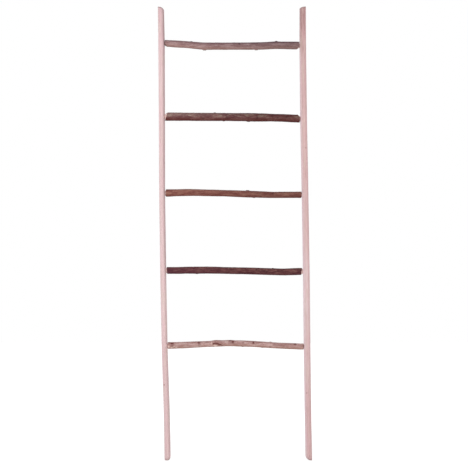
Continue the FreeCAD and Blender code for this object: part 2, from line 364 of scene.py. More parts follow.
def lean_along(branch, along):
    """How far the rings lean along X. Only those near the bark's ends do."""
    left, right = branch["leans"]
    return (left * fall_off(along - branch["first"], 0, LEAN_REACH)
            + right * fall_off(branch["last"] - along, 0, LEAN_REACH))


def kneed(rung, side, level):
    """The share of an end's lean at a level, both from -1 below to 1 above."""
    where, knee = KNEES.get((rung, side), ("", 0.0))
    if where == "below":
        return 1 - 2 * np.clip((knee - level) / (knee + 1), 0, 1)
    if where == "above":
        return 2 * np.clip((level - knee) / (1 - knee), 0, 1) - 1
    return level


def rings_on(branch, along, radius, turn):
    """Rings of points round a branch's centre line, leaning with the bark's ends."""
    line, level = branch["line"], np.cos(turn)
    side = np.where(along < (branch["first"] + branch["last"]) / 2,
                    kneed(branch["rung"], "left", level), kneed(branch["rung"], "right", level))
    return np.stack([along + lean_along(branch, along) * side * radius,
                     np.interp(along, line[0], line[1]) - np.sin(turn) * radius,
                     np.interp(along, line[0], line[2]) + level * radius], axis=-1)


def bark_relief(rung, even_points, along, turn, radius):
    """Heights of the bark over its even surface, and where it is dark or bare."""
    undulation, lengthwise, crosswise, flakes = (h * MM for h in BARK_HEIGHTS[rung])
    seed = 100 * rung
    height = undulation * noise(even_points, (38 * MM, 14 * MM, 14 * MM), seed)
    height += lengthwise * noise(even_points, (11 * MM, 2.3 * MM, 2.3 * MM), seed + 1)
    height += lengthwise * 0.5 * noise(even_points, (5 * MM, 1.9 * MM, 1.9 * MM), seed + 2)
    height += crosswise * noise(even_points, (1.8 * MM, 7 * MM, 7 * MM), seed + 3)
    plate = noise(even_points, (9 * MM, 5 * MM, 5 * MM), seed + 4)
    height += flakes * (0.3 - fall_off(np.abs(plate), 0.05, 0.22))
    ragged = noise(even_points, (3 * MM, 3 * MM, 3 * MM), seed + 5)
    dark, bare = np.zeros_like(height), np.zeros_like(height)
    for kind, place, angle, length, width, rise in BARK_MARKS[rung]:
        rise = rise * MM
        around = (turn - math.radians(angle) + math.pi) % (2 * math.pi) - math.pi
        ahead, across = along / MM - place, around * radius / MM
        if kind == "scar":
            ahead, across = ahead + SCAR_SLOPE * across, across - SCAR_SLOPE * ahead
        raggedness = 0.4 if kind in ("scar", "peel") else 0.2
        distance = np.hypot(ahead / length, across / width) * (1 + raggedness * ragged)
        if kind == "bud":
            height += rise * fall_off(distance, 0.1, 1.5)
            dark = np.maximum(dark, 0.75 * fall_off(distance, 0.3, 0.9))
        elif kind == "stub":
            height += rise * fall_off(distance, 0.62, 1.5)
            height -= 0.18 * rise * fall_off(distance, 0.35, 0.55)
            dark = np.maximum(dark, fall_off(np.abs(distance - 0.66), 0.06, 0.2))
            bare = np.maximum(bare, 0.8 * fall_off(distance, 0.42, 0.6))
        elif kind == "knot":
            height += rise * (fall_off(distance, 0.6, 1.7) - 0.7 * fall_off(distance, 0, 0.6))
            dark = np.maximum(dark, fall_off(distance, 0.3, 1.2))
        elif kind == "scar":
            height += rise * fall_off(distance, 0.4, 1.1)
            dark = np.maximum(dark, fall_off(distance, 0.5, 1.1))
        elif kind == "peel":
            height += rise * fall_off(distance, 0.7, 1.1)
            bare = np.maximum(bare, 0.85 * fall_off(distance, 0.45, 1.2))
        elif kind == "blotch":
            height += rise * fall_off(distance, 0, 1.3)
            dark = np.maximum(dark, 0.5 * fall_off(distance, 0.2, 1.25))
        elif kind == "swell":
            height += rise * fall_off(distance, 0, 1.3)
    return height, dark, bare


def make_bark(branch, material):
    """A branch's bark: a ragged tube whose ends are cut on a slant."""
    rung, line, first, last = (branch[key] for key in ("rung", "line", "first", "last"))
    node = f"bark_{rung}"
    turn = np.linspace(0, 2 * math.pi, BARK_COLUMNS, endpoint=False)[None, :]
    along = np.linspace(first, last, BARK_RINGS)[:, None] + 0 * turn
    turns = turn + 0 * along
    radius = np.interp(along, line[0], line[3])
    even_points = rings_on(branch, along, radius, turns)
    height, dark, bare = bark_relief(rung, even_points, along, turns, radius)
    from_end = np.minimum(along - first, last - along)
    height -= BARK_EDGE_WEAR * fall_off(from_end, 0, 2 * BARK_EDGE_WEAR)
    height = np.maximum(height, THINNEST_BARK - branch["thickness"])
    outside = rings_on(branch, along, radius + height, turns)
    inner = np.linspace(last, first, HOLLOW_RINGS)[:, None] + 0 * turn
    inner_radius = np.interp(inner, line[0], line[3]) - branch["thickness"]
    inside = rings_on(branch, inner, inner_radius, turn + 0 * inner)
    points = np.concatenate([outside, inside])
    faces = ring_faces(len(points), BARK_COLUMNS, closed=True)
    piece = add_piece(f"bark_skin_{rung}", points, faces, [material], node, BARK_CREASE)
    hollow = np.zeros(inner.shape)
    give_mask(piece, "dark", np.concatenate([dark, hollow]))
    give_mask(piece, "bare", np.concatenate([bare, hollow + 1]))
    give_mask(piece, "above", np.concatenate([np.cos(turns), hollow]))


def pared_facets(turn, phase):
    """What flat knife cuts leave of a round: 1 on the ridges between them, less in each cut."""
    step = 2 * math.pi / KNIFE_CUTS
    wander = KNIFE_WANDER * np.sin(2 * turn + phase)
    return math.cos(step / 2) / np.cos((turn + wander + phase) % step - step / 2)


def wood_end(branch, side):
    """A tenon and its shoulder as rings: X, Y, Z, radius, lean, how far pared, how brown."""
    rung, line = branch["rung"], branch["line"]
    node = f"rung_{rung}"
    low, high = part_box(node)
    inwards = INWARDS[side]
    tip = low.x if side == "left" else high.x
    points = np.array([v.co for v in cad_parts[node].data.vertices])
    ring = points[np.abs(points[:, 0] - tip) < SAME_PLACE]
    level, radius = ring[:, 2].mean(), np.ptp(ring[:, 2]) / 2
    above_bore = level + 2 * radius
    rail = hit(surface(f"rail_{side}"), (0, 0, above_bore), (-inwards, 0, 0)).x
    neck = rail + inwards * SEAT_GAP
    end = branch["first"] if side == "left" else branch["last"]
    lean = branch["leans"][SIDES.index(side)]
    wood_radius = float(np.interp(end, line[0], line[3])) - branch["thickness"]
    y, z = float(np.interp(end, line[0], line[1])), float(np.interp(end, line[0], line[2]))
    shoulder_brown = SHOULDER_BROWNS.get((rung, side), 0.0)
    rows = [(tip, 0.0, level, radius - TENON_CHAMFER, 0.0, 0.0, 0.0),
            (tip + inwards * TENON_CHAMFER, 0.0, level, radius, 0.0, 0.0, 0.0),
            (rail - inwards * BROWN_DEPTH, 0.0, level, radius, 0.0, 0.0, shoulder_brown)]
    for share in np.linspace(0, 1, SHOULDER_RINGS):
        swell = math.sin(share * math.pi / 2) ** SHOULDER_FULLNESS
        pared = math.sqrt(math.sin(math.pi * min(1.0, 0.15 + share)))
        rows.append((neck + (end - neck) * share, y * share, level + (z - level) * share,
                     radius + (wood_radius - radius) * swell, lean * share, pared, shoulder_brown))
    return np.array(rows)


def make_wood(branch, material):
    """A branch's wood: tenon, pared shoulder, branch under its bark, shoulder, tenon."""
    rung, line = branch["rung"], branch["line"]
    left, right = wood_end(branch, "left"), wood_end(branch, "right")[::-1]
    under_bark = np.linspace(branch["first"], branch["last"], HOLLOW_RINGS)[1:-1]
    depth = branch["thickness"] + WOOD_CLEARANCE
    middle = np.stack([under_bark,
                       np.interp(under_bark, line[0], line[1]),
                       np.interp(under_bark, line[0], line[2]),
                       np.interp(under_bark, line[0], line[3]) - depth,
                       lean_along(branch, under_bark),
                       0 * under_bark, 0 * under_bark], axis=1)
    rows = np.concatenate([left, middle, right])
    x, y, z, radius, lean, pared, shoulder_brown = (column[:, None] for column in rows.T)
    turn = np.linspace(0, 2 * math.pi, WOOD_COLUMNS, endpoint=False)[None, :]
    radius = radius * (1 + pared * (pared_facets(turn, rung) - 1))
    level = np.cos(turn)
    side = np.where(x < 0, kneed(rung, "left", level), kneed(rung, "right", level))
    rings = np.stack([x + lean * side * radius, y - np.sin(turn) * radius, z + level * radius],
                     axis=-1)
    centres = rows[[0, -1], :3]
    count = len(rows) * WOOD_COLUMNS
    faces = ring_faces(len(rows), WOOD_COLUMNS, closed=False)
    faces += cap_faces(0, WOOD_COLUMNS, count, flipped=True)
    faces += cap_faces(count - WOOD_COLUMNS, WOOD_COLUMNS, count + 1, flipped=False)
    points = np.concatenate([rings.reshape(-1, 3), centres])
    piece = add_piece(f"branch_wood_{rung}", points, faces, [material], f"rung_{rung}",
                      WOOD_CREASE)
    give_mask(piece, "shoulder_brown", np.append((shoulder_brown + 0 * turn).ravel(), [0, 0]))


# ---------------------------------------------------------------- poles

def pole_line(side):
    """A pole read by rays: heights, flat face and thickness, both even over the bores."""
    node = f"rail_{side}"
    tree = surface(node)
    low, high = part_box(node)
    inwards = INWARDS[side]
    outside = (low.x if side == "left" else high.x) - inwards * RAY_START
    bores = [(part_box(f"rung_{rung}")[0].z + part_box(f"rung_{rung}")[1].z) / 2 for rung in RUNGS]
    rows = []
    margin = SOLID_EASE + POLE_STEP
    for height in np.arange(margin, high.z - margin, POLE_READING):
        if min(abs(height - bore) for bore in bores) > BORE_MARGIN:
            flat = hit(tree, (outside, 0, height), (inwards, 0, 0)).x
            crown = hit(tree, (0, 0, height), (-inwards, 0, 0)).x
            rows.append((height, flat, abs(crown - flat)))
    height, flat, thickness = np.array(rows).T
    levels = np.arange(0, high.z + POLE_STEP / 2, POLE_STEP)
    return (levels, smoothed(np.interp(levels, height, flat), POLE_STEP, POLE_SMOOTHING),
            smoothed(np.interp(levels, height, thickness), POLE_STEP, POLE_SMOOTHING))


def half_round(half_depth, thickness):
    """A pole's outline: sawn face from front to back, then the round side. Away from the flat
    face, then to the back, with the two corners a little worn."""
    radius = (thickness ** 2 + half_depth ** 2) / (2 * thickness)
    middle = thickness - radius
    opening = math.atan2(half_depth, -middle)
    worn = CORNER_RADIUS / radius
    arc = np.linspace(opening - worn, -opening + worn, ARC_POINTS)
    round_side = np.stack([middle + radius * np.cos(arc), radius * np.sin(arc)], axis=1)
    across = np.linspace(-half_depth + CORNER_RADIUS, half_depth - CORNER_RADIUS, FLAT_POINTS)
    flat_side = np.stack([0 * across, across], axis=1)
    bend = np.linspace(0, math.pi / 2, CORNER_POINTS + 2)[1:-1]
    back = np.stack([CORNER_RADIUS * (1 - np.cos(bend)),
                     half_depth - CORNER_RADIUS * (1 - np.sin(bend))], axis=1)
    front = back[::-1] * (1, -1)
    return np.concatenate([flat_side, back, round_side, front])


def ease(from_end, width, length):
    """How far a rounded edge has drawn in at some distance from the end of a pole."""
    share = min(max(1 - from_end / length, 0), 1)
    return width * (1 - math.sqrt(1 - share ** 2))


def make_pole(side, materials):
    """A half-round pole: peeled round side, sawn face outwards, sawn ends."""
    node = f"rail_{side}"
    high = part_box(node)[1]
    inwards = INWARDS[side]
    levels, flats, thicknesses = pole_line(side)
    spread = 1 - np.cos(np.linspace(0, math.pi / 2, EASE_RINGS))
    foot, top = EASES[side]["foot"], EASES[side]["top"]
    inner_levels = levels[(levels > foot[1]) & (levels < high.z - top[1])]
    heights = np.concatenate([foot[1] * spread, inner_levels, (high.z - top[1] * spread)[::-1]])
    half_depth = high.y - POLE_CLEARANCE
    rings = []
    for height in heights:
        from_end, (width, length, worn) = min((height, foot), (high.z - height, top))
        inset = ease(from_end, width, length)
        edge = ease(from_end, worn, worn)
        thickness = float(np.interp(height, levels, thicknesses)) - inset - edge
        outline = half_round(half_depth - EASE_ACROSS * inset - edge, thickness)
        flat = float(np.interp(height, levels, flats)) + inwards * edge
        rings.append(np.stack([flat + inwards * outline[:, 0], outline[:, 1],
                               np.full(len(outline), height)], axis=1))
    points = np.array(rings)
    columns = points.shape[1]
    crown = (points[..., 0] - np.interp(points[..., 2], levels, flats)) * inwards
    crown = crown / crown.max(axis=1, keepdims=True)
    points, dark = worn_pole(points, flats, levels, side)
    count = len(heights) * columns
    faces = ring_faces(len(heights), columns, closed=False)
    if side == "left":
        faces = [face[::-1] for face in faces]
    centres = points[[0, -1]].mean(axis=1)
    centres[:, 2] = (0, high.z)
    faces += cap_faces(0, columns, count, flipped=side == "right")
    faces += cap_faces(count - columns, columns, count + 1, flipped=side == "left")
    all_points = np.concatenate([points.reshape(-1, 3), centres])
    piece = add_piece(f"pole_{side}", all_points, faces, materials, node,
                      POLE_CREASE)
    column = np.tile(np.arange(columns), len(heights) - 1)
    slots = np.where(column < FLAT_POINTS - 1, 1, 0)
    slots = np.concatenate([slots, np.full(2 * columns, 2)])
    piece.data.polygons.foreach_set("material_index", slots.astype(np.int32))
    give_mask(piece, "dark", np.append(dark.ravel(), [0, 0]))
    give_mask(piece, "crown", np.append(crown.ravel(), [0, 0]))


def worn_pole(points, flats, levels, side):
    """Wears shallow hollows into a pole, less of them round its knots, and marks the knots."""
    inwards = INWARDS[side]
    seed = POLE_SEED + inwards
    flat = np.interp(points[..., 2], levels, flats)
    into = (points[..., 0] - flat) * inwards
    middle = np.stack([flat + inwards * CORE_DEPTH, 0 * flat, points[..., 2]], axis=-1)
    outwards = points - middle
    distance = np.linalg.norm(outwards, axis=-1, keepdims=True)
    hollow = BROAD_HOLLOW * (noise(points, (9 * MM, 9 * MM, 55 * MM), seed) + 1)
    hollow += FINE_HOLLOW * (noise(points, (4 * MM, 4 * MM, 26 * MM), seed + 1) + 1)
    hollow *= fall_off(-into, -2 * MM, -0.5 * MM)
    ends = np.minimum(points[..., 2], points[..., 2].max() - points[..., 2])
    hollow *= fall_off(-ends, -14 * MM, -2 * MM)
    dark = np.zeros_like(flat)
    angle = np.arctan2(points[..., 1], into - CORE_DEPTH)
    for height, turn, size in POLE_KNOTS[side]:
        around = angle - math.radians(turn)
        apart = np.hypot((points[..., 2] - height * MM) / (1.7 * size * MM),
                         around * distance[..., 0] / (size * MM))
        hollow -= 0.5 * hollow * fall_off(apart, 0.6, 2.2)
        dark = np.maximum(dark, fall_off(apart, 0.45, 1.0))
    moved = points - outwards / distance * hollow[..., None]
    return moved, dark


# ---------------------------------------------------------------- materials

def paint(red, green, blue):
    """A colour as a screen shows it, from 0 to 255, as Blender takes it."""
    linear = []
    for value in (red, green, blue):
        share = value / 255
        linear.append(share / 12.92 if share <= 0.04045 else ((share + 0.055) / 1.055) ** 2.4)
    return (*linear, 1.0)


BLACK = paint(0, 0, 0)

# The poles' round sides: the tone at the foot, the tones it turns into higher up, each from one
# height to another, the streaks over them, and three bands of painted light and shade along the
# pole by their distance from the flat face: its corner, with painted shade on both poles; its
# middle, with a painted highlight on the left pole and painted shade on the right; and its crown,
# with painted shade on the left pole and a painted highlight on the right. The crown's levels are
# two heights, and how much of its share there is below and above them.
PEELED = {
    "left": {
        "foot": paint(218, 188, 189),
        "tones": ((0.38, 0.54, paint(229, 202, 202)), (1.60, 1.72, paint(212, 179, 183))),
        "rosy": paint(228, 186, 191), "beige": paint(218, 204, 192), "shade": paint(192, 154, 154),
        # Painted shade at the corner and the crown, a painted highlight in the middle.
        "corner": paint(202, 176, 179), "corner_shade_share": 0.6,
        "middle": paint(246, 212, 213), "middle_shading_share": 0.28,
        "crown": paint(176, 140, 145), "crown_shading_share": 0.42, "crown_shading_levels": (0.66, 0.80, 0.0, 1.0),
    },
    "right": {
        "foot": paint(208, 174, 175),
        "tones": ((0.20, 0.36, paint(214, 186, 187)), (0.44, 0.56, paint(222, 200, 201)),
                  (0.74, 0.90, paint(210, 182, 181)), (1.02, 1.14, paint(206, 176, 174)),
                  (1.34, 1.46, paint(196, 163, 163)), (1.60, 1.68, paint(148, 108, 107))),
        "rosy": paint(216, 172, 177), "beige": paint(204, 186, 174), "shade": paint(176, 136, 134),
        # Painted shade at the corner and in the middle, a painted highlight at the crown.
        "corner": paint(182, 147, 147), "corner_shade_share": 0.7,
        "middle": paint(200, 170, 166), "middle_shading_share": 0.2,
        "crown": paint(226, 202, 210), "crown_shading_share": 0.5, "crown_shading_levels": (1.58, 1.70, 1.0, 0.4),
    },
}
SAWN = {
    "ground": paint(224, 200, 190), "rosy": paint(218, 186, 182), "shade": paint(194, 158, 152),
    "dark": paint(182, 142, 134),
}
PARED = {
    "light": paint(228, 204, 198), "grain": paint(204, 174, 168), "pale": paint(236, 216, 210),
    "brown": paint(74, 46, 42), "shoulder_brown": paint(116, 78, 70),
}
KNOT_BROWN = paint(128, 84, 70)

# Painted shade: the grey rims of the poles' round sides, stronger towards the crown. From which
# heights they fade in towards the ends.
RIM_SHADE_GREY = paint(158, 126, 124)
FOOT_RIM_SHADE, TOP_RIM_SHADE = (0.014, 0.002), (1.790, 1.799)

# The barks of branches 1 to 5. Colours: the ground from dark to light, the streaks, patches,
# blots and specks on it, the painted shade along its top, the line along its underside, knots,
# and bare wood.
BARK_COLOURS = {
    "dark": ((128, 96, 96), (86, 48, 51), (108, 60, 54), (64, 24, 30), (148, 110, 106)),
    "light": ((168, 138, 137), (128, 89, 87), (146, 99, 88), (112, 67, 67), (190, 155, 151)),
    "streak": ((184, 160, 159), (140, 105, 101), (162, 124, 106), (130, 91, 87), (206, 180, 175)),
    "patch": ((174, 154, 153), (154, 136, 122), (150, 122, 102), (124, 95, 84), (206, 188, 180)),
    "blot": ((126, 96, 100), (84, 38, 42), (114, 64, 60), (60, 24, 34), (150, 106, 96)),
    "speck": ((190, 168, 164), (164, 140, 130), (180, 142, 126), (144, 104, 98), (144, 104, 98)),
    "top": ((94, 66, 76), (76, 46, 62), (98, 56, 66), (62, 36, 36), (158, 134, 134)),
    "under": ((164, 124, 108), (90, 40, 34), (112, 58, 48), (78, 32, 40), (182, 143, 124)),
    "knot": ((60, 30, 36), (44, 16, 18), (58, 24, 22), (32, 12, 14), (96, 46, 42)),
    "bare": ((206, 176, 160), (204, 164, 150), (214, 176, 158), (214, 180, 170), (230, 206, 192)),
}

# Their shares and levels. grain: how many patches or specks to the metre, along the branch and
# across it. patch_below: the patches' share under the branch. The share by which the bark
# darkens to the right is painted shade, as is the line along the top.
BARK_AMOUNTS = {
    "patch_level": ((0.54, 0.68), (0.47, 0.61), (0.52, 0.66), (0.50, 0.61), (0.52, 0.66)),
    "patch_below": (0.8, 0.2, 0.6, 0.7, 0.8),
    "patch_grain": ((34, 190), (44, 120), (24, 200), (70, 230), (44, 170)),
    "blot_share": (0.35, 0.6, 0.35, 0.55, 0.5),
    "speck_grain": ((110, 420), (120, 380), (330, 210), (320, 220), (310, 240)),
    "speck_share": (0.35, 0.3, 0.4, 0.3, 0.3),
    "top_shade_from": (0.34, 0.74, 0.6, 0.7, 0.6),
    "top_shade_share": (0.82, 0.85, 0.6, 0.6, 0.4),
    "under_share": (0.45, 0.85, 0.45, 0.5, 0.5),
    "right_shade_share": (0.32, 0.32, 0.24, 0.06, 0.0),
    "rough": (0.62, 0.66, 0.55, 0.58, 0.60),
}

# About how far the barks reach from the ladder's middle, in metres.
BARK_END = 0.27

# Barks that change hue towards one end: which end, the colour there, and its shares below and
# above the branch's middle.
TINTS = {
    2: (("left", paint(178, 150, 144), 0.0, 0.26), ("right", paint(110, 48, 38), 0.32, 0.32)),
    4: (("left", paint(84, 42, 60), 0.36, 0.24),),
    5: (("left", paint(146, 106, 102), 0.04, 0.24),),
}


def empty_tree(owner):
    """The node tree of a material or the world, with nothing in it yet."""
    owner.use_nodes = True
    owner.node_tree.nodes.clear()
    return owner.node_tree


def feed(node, name, value):
    """Sets one of a node's inputs, or joins an output to it."""
    if isinstance(value, bpy.types.NodeSocket):
        node.id_data.links.new(value, node.inputs[name])
    else:
        node.inputs[name].default_value = value


def add_node(tree, kind, **inputs):
    """A node and its inputs. A _ in a name stands for a space."""
    node = tree.nodes.new(kind)
    for name, value in inputs.items():
        feed(node, name.replace("_", " "), value)
    return node


def fill(node, *values):
    """Feeds a node's inputs in their order, and gives its first output."""
    for index, value in enumerate(values):
        feed(node, index, value)
    return node.outputs[0]


class Shader:
    """A material's nodes, with short ways to add and join them."""

    def __init__(self, name):
        self.material = bpy.data.materials.new(name)
        self.tree = empty_tree(self.material)
        self.place = self.add("ShaderNodeTexCoord").outputs["Object"]

    def add(self, kind, **inputs):
        return add_node(self.tree, kind, **inputs)

    def stretched(self, scale):
        """The place in the object, finer or coarser along X, Y and Z."""
        return self.add("ShaderNodeMapping", Vector=self.place, Scale=scale).outputs["Vector"]

    def noise(self, scale, detail=3.0, roughness=0.55, distortion=0.0):
        """Noise with so many grains to the metre along X, Y and Z."""
        node = self.add("ShaderNodeTexNoise", Vector=self.stretched(scale), Scale=1.0,
                        Detail=detail, Roughness=roughness, Distortion=distortion)
        return node.outputs["Fac"]

    def spots(self, scale, size, edge):
        """Specks: 1 inside, 0 outside, so many to the metre along X, Y and Z."""
        cells = self.add("ShaderNodeTexVoronoi", Vector=self.stretched(scale), Scale=1.0)
        return self.between(cells.outputs["Distance"], size + edge, size)

    def between(self, value, low, high, start=0.0, end=1.0):
        """The value's place from low to high, as a number from start to end."""
        node = self.tree.nodes.new("ShaderNodeMapRange")
        node.interpolation_type = "SMOOTHSTEP"
        return fill(node, value, low, high, start, end)

    def axis(self, name):
        """The place along one axis, in metres."""
        return self.add("ShaderNodeSeparateXYZ", Vector=self.place).outputs[name]

    def mask(self, name):
        node = self.tree.nodes.new("ShaderNodeAttribute")
        node.attribute_name = name
        return node.outputs["Fac"]

    def calculated(self, operation, first, second):
        node = self.tree.nodes.new("ShaderNodeMath")
        node.operation = operation
        return fill(node, first, second)

    def times(self, first, second):
        return self.calculated("MULTIPLY", first, second)

    def plus(self, first, second):
        return self.calculated("ADD", first, second)

    def mixed(self, share, first, second):
        """Two colours, the second one by its share."""
        node = self.tree.nodes.new("ShaderNodeMix")
        node.data_type = "RGBA"
        feed(node, 0, share)
        feed(node, 6, first)
        feed(node, 7, second)
        return node.outputs[2]

    def tinted(self, colour, tint, value, low, high, share=1.0):
        """A colour that turns into a tint, by up to a share, as a value goes from low to high."""
        return self.mixed(self.between(value, low, high, 0.0, share), colour, tint)

    def bump(self, height, distance, under=None):
        """Relief so many metres high, over another relief if there is one."""
        node = self.add("ShaderNodeBump", Height=height, Distance=distance)
        if under is not None:
            feed(node, "Normal", under)
        return node.outputs["Normal"]

    def finish(self, colour, roughness, normal, specular):
        surface = self.add("ShaderNodeBsdfPrincipled", Base_Color=colour, Roughness=roughness,
                           Specular_IOR_Level=specular, Normal=normal)
        self.add("ShaderNodeOutputMaterial", Surface=surface.outputs["BSDF"])
        return self.material


def bark_material(rung):
    """Bark: blotches and long streaks on its ground, specks, dark knots, bare wood, and painted
    shade along its top and towards the right.
    """
    look = {key: row[rung - 1] for key, row in BARK_AMOUNTS.items()}
    look.update({key: paint(*row[rung - 1]) for key, row in BARK_COLOURS.items()})
    shader = Shader(f"bark_{rung}")
    above = shader.mask("above")
    broad = shader.noise((18, 75, 75), detail=4, roughness=0.6)
    streaks = shader.noise((32, 360, 360), detail=5, roughness=0.6)
    fibres = shader.noise((170, 1300, 1300), detail=4, roughness=0.6)
    crossing = shader.noise((520, 120, 120), detail=3)
    grains = shader.noise((1500, 1500, 1500), detail=2)
    length, width = look["speck_grain"]
    specks = shader.times(shader.spots((length, width, width), 0.13, 0.12),
                          shader.between(shader.noise((75, 75, 75), detail=2), 0.45, 0.62))
    colour = shader.tinted(look["dark"], look["light"], broad, 0.36, 0.64)
    colour = shader.tinted(colour, look["streak"], streaks, 0.52, 0.70, 0.8)
    colour = shader.tinted(colour, look["dark"], streaks, 0.47, 0.33, 0.7)
    length, width = look["patch_grain"]
    patches = shader.noise((length, width, width), detail=4, roughness=0.6)
    patches = shader.plus(shader.times(patches, 0.65), shader.times(broad, 0.35))
    low, high = look["patch_level"]
    on_front = shader.between(above, -0.3, 0.4, look["patch_below"], 1.0)
    patches = shader.times(shader.between(patches, low, high, 0.0, 0.8), on_front)
    colour = shader.mixed(patches, colour, look["patch"])
    blots = shader.noise((58, 125, 125), detail=4, roughness=0.65)
    colour = shader.tinted(colour, look["blot"], blots, 0.50, 0.66, look["blot_share"])
    colour = shader.tinted(colour, look["dark"], crossing, 0.60, 0.75, 0.25)
    colour = shader.tinted(colour, look["streak"], fibres, 0.55, 0.75, 0.35)
    colour = shader.mixed(shader.times(specks, look["speck_share"]), colour, look["speck"])
    under = shader.times(shader.between(above, 0.1, -0.75, 0.0, look["under_share"]),
                         shader.between(broad, 0.75, 0.35, 0.45, 1.0))
    colour = shader.mixed(under, colour, look["under"])
    along = shader.axis("X")
    # Painted shade along the top of the branch, fuller from the middle to the right.
    top = shader.times(shader.between(above, look["top_shade_from"], 0.97, 0.0, look["top_shade_share"]),
                       shader.between(along, -BARK_END, 0.02, 0.55, 1.0))
    colour = shader.mixed(top, colour, look["top"])
    for side, tint, low_share, high_share in TINTS.get(rung, ()):
        reach = (0.05, -BARK_END) if side == "left" else (-0.05, BARK_END)
        share = shader.times(shader.between(along, *reach),
                             shader.between(above, -0.2, 0.6, low_share, high_share))
        colour = shader.mixed(share, colour, tint)
    colour = shader.tinted(colour, look["dark"], grains, 0.3, 0.7, 0.22)
    bare = shader.tinted(look["bare"], look["light"], streaks, 0.3, 0.7)
    colour = shader.mixed(shader.mask("bare"), colour, bare)
    colour = shader.mixed(shader.times(shader.mask("dark"), 0.9), colour, look["knot"])
    # Painted shade: the bark darkens towards the right.
    colour = shader.tinted(colour, BLACK, along, -BARK_END, BARK_END, look["right_shade_share"])
    normal = shader.bump(streaks, 0.35 * MM)
    normal = shader.bump(fibres, 0.16 * MM, under=normal)
    normal = shader.bump(crossing, 0.12 * MM, under=normal)
    normal = shader.bump(grains, 0.08 * MM, under=normal)
    normal = shader.bump(specks, 0.15 * MM, under=normal)
    roughness = shader.between(broad, 0.3, 0.7, look["rough"], look["rough"] + 0.18)
    return shader.finish(colour, roughness, normal, specular=0.15)


def pared_wood_material():
    """Knife-cut branch wood: pale and pinkish, fine grain along it, brown between some barks and
    the poles.
    """
    shader = Shader("branch_wood")
    grain = shader.noise((60, 900, 900), detail=5, roughness=0.6)
    broad = shader.noise((40, 90, 90), detail=3)
    cuts = shader.noise((700, 60, 60), detail=2)
    colour = shader.tinted(PARED["light"], PARED["grain"], grain, 0.35, 0.7)
    colour = shader.tinted(colour, PARED["pale"], broad, 0.45, 0.7, 0.5)
    brown = shader.tinted(PARED["brown"], PARED["shoulder_brown"], grain, 0.35, 0.65)
    colour = shader.mixed(shader.mask("shoulder_brown"), colour, brown)
    normal = shader.bump(grain, 0.12 * MM)
    normal = shader.bump(cuts, 0.10 * MM, under=normal)
    roughness = shader.between(grain, 0.3, 0.7, 0.55, 0.72)
    return shader.finish(colour, roughness, normal, specular=0.3)


def peeled_material(side):
    """A pole's round side: peeled wood, pinkish and pale, streaked along its length, with painted
    light and shade across it and painted shade near its ends.
    """
    look = PEELED[side]
    shader = Shader(f"peeled_{side}")
    streaks = shader.noise((230, 230, 9), detail=4, roughness=0.6)
    tints = shader.noise((170, 170, 13), detail=3, roughness=0.5, distortion=0.2)
    blushes = shader.noise((140, 140, 11), detail=3, roughness=0.5, distortion=0.2)
    fibres = shader.noise((1500, 1500, 26), detail=3)
    level = shader.axis("Z")
    ragged = shader.noise((120, 120, 16), detail=3)
    height = shader.plus(level, shader.between(ragged, 0.3, 0.7, -0.03, 0.03))
    colour = look["foot"]
    for start, end, tone in look["tones"]:
        colour = shader.tinted(colour, tone, height, start, end)
    colour = shader.tinted(colour, look["rosy"], blushes, 0.48, 0.62, 0.42)
    colour = shader.tinted(colour, look["beige"], tints, 0.50, 0.63, 0.60)
    colour = shader.tinted(colour, look["shade"], streaks, 0.48, 0.30, 0.75)
    colour = shader.tinted(colour, look["shade"], fibres, 0.35, 0.65, 0.18)
    # Painted light and shade across the round side, by distance from the flat face: corner, middle
    # and crown, as each pole lists them.
    from_flat = shader.mask("crown")
    colour = shader.tinted(colour, look["corner"], from_flat, 0.5, 0.0, look["corner_shade_share"])
    middle = shader.times(shader.between(from_flat, 0.25, 0.5, 0.0, look["middle_shading_share"]),
                          shader.between(from_flat, 0.85, 0.65))
    colour = shader.mixed(middle, colour, look["middle"])
    crown = shader.times(shader.between(from_flat, 0.63, 0.90, 0.0, look["crown_shading_share"]),
                         shader.between(height, *look["crown_shading_levels"]))
    colour = shader.mixed(crown, colour, look["crown"])
    # Painted shade: a grey rim near the pole's ends, stronger towards the crown.
    rim = shader.times(shader.between(from_flat, 0.4, 0.9, 0.3, 0.55),
                       shader.plus(shader.between(level, *FOOT_RIM_SHADE),
                                   shader.between(level, *TOP_RIM_SHADE, 0.0, 0.8)))
    colour = shader.mixed(rim, colour, RIM_SHADE_GREY)
    colour = shader.mixed(shader.times(shader.mask("dark"), 0.85), colour, KNOT_BROWN)
    normal = shader.bump(streaks, 0.25 * MM)
    normal = shader.bump(fibres, 0.08 * MM, under=normal)
    roughness = shader.between(streaks, 0.3, 0.7, 0.52, 0.70)
    return shader.finish(colour, roughness, normal, specular=0.3)


def sawn_material():
    """The poles' flat face: sawn wood, with grain lines along it and saw marks across it."""
    shader = Shader("sawn_face")
    grain = shader.noise((300, 420, 3.5), detail=6, roughness=0.6, distortion=0.4)
    fibres = shader.noise((1500, 1500, 40), detail=3)
    saw = shader.add("ShaderNodeTexWave", Vector=shader.stretched((1, 0.22, 1)), Scale=62.0,
                     Distortion=1.2, Detail=2.0)
    saw.wave_type = "BANDS"
    saw.bands_direction = "Z"
    colour = shader.tinted(SAWN["ground"], SAWN["rosy"], grain, 0.35, 0.65)
    colour = shader.tinted(colour, SAWN["dark"], grain, 0.58, 0.72, 0.55)
    colour = shader.tinted(colour, SAWN["shade"], fibres, 0.3, 0.7, 0.3)
    marks = shader.between(saw.outputs["Fac"], 0.2, 0.9, 0.0, 0.16)
    colour = shader.mixed(marks, colour, SAWN["shade"])
    normal = shader.bump(saw.outputs["Fac"], 0.12 * MM)
    normal = shader.bump(fibres, 0.12 * MM, under=normal)
    roughness = shader.between(grain, 0.3, 0.7, 0.62, 0.80)
    return shader.finish(colour, roughness, normal, specular=0.3)


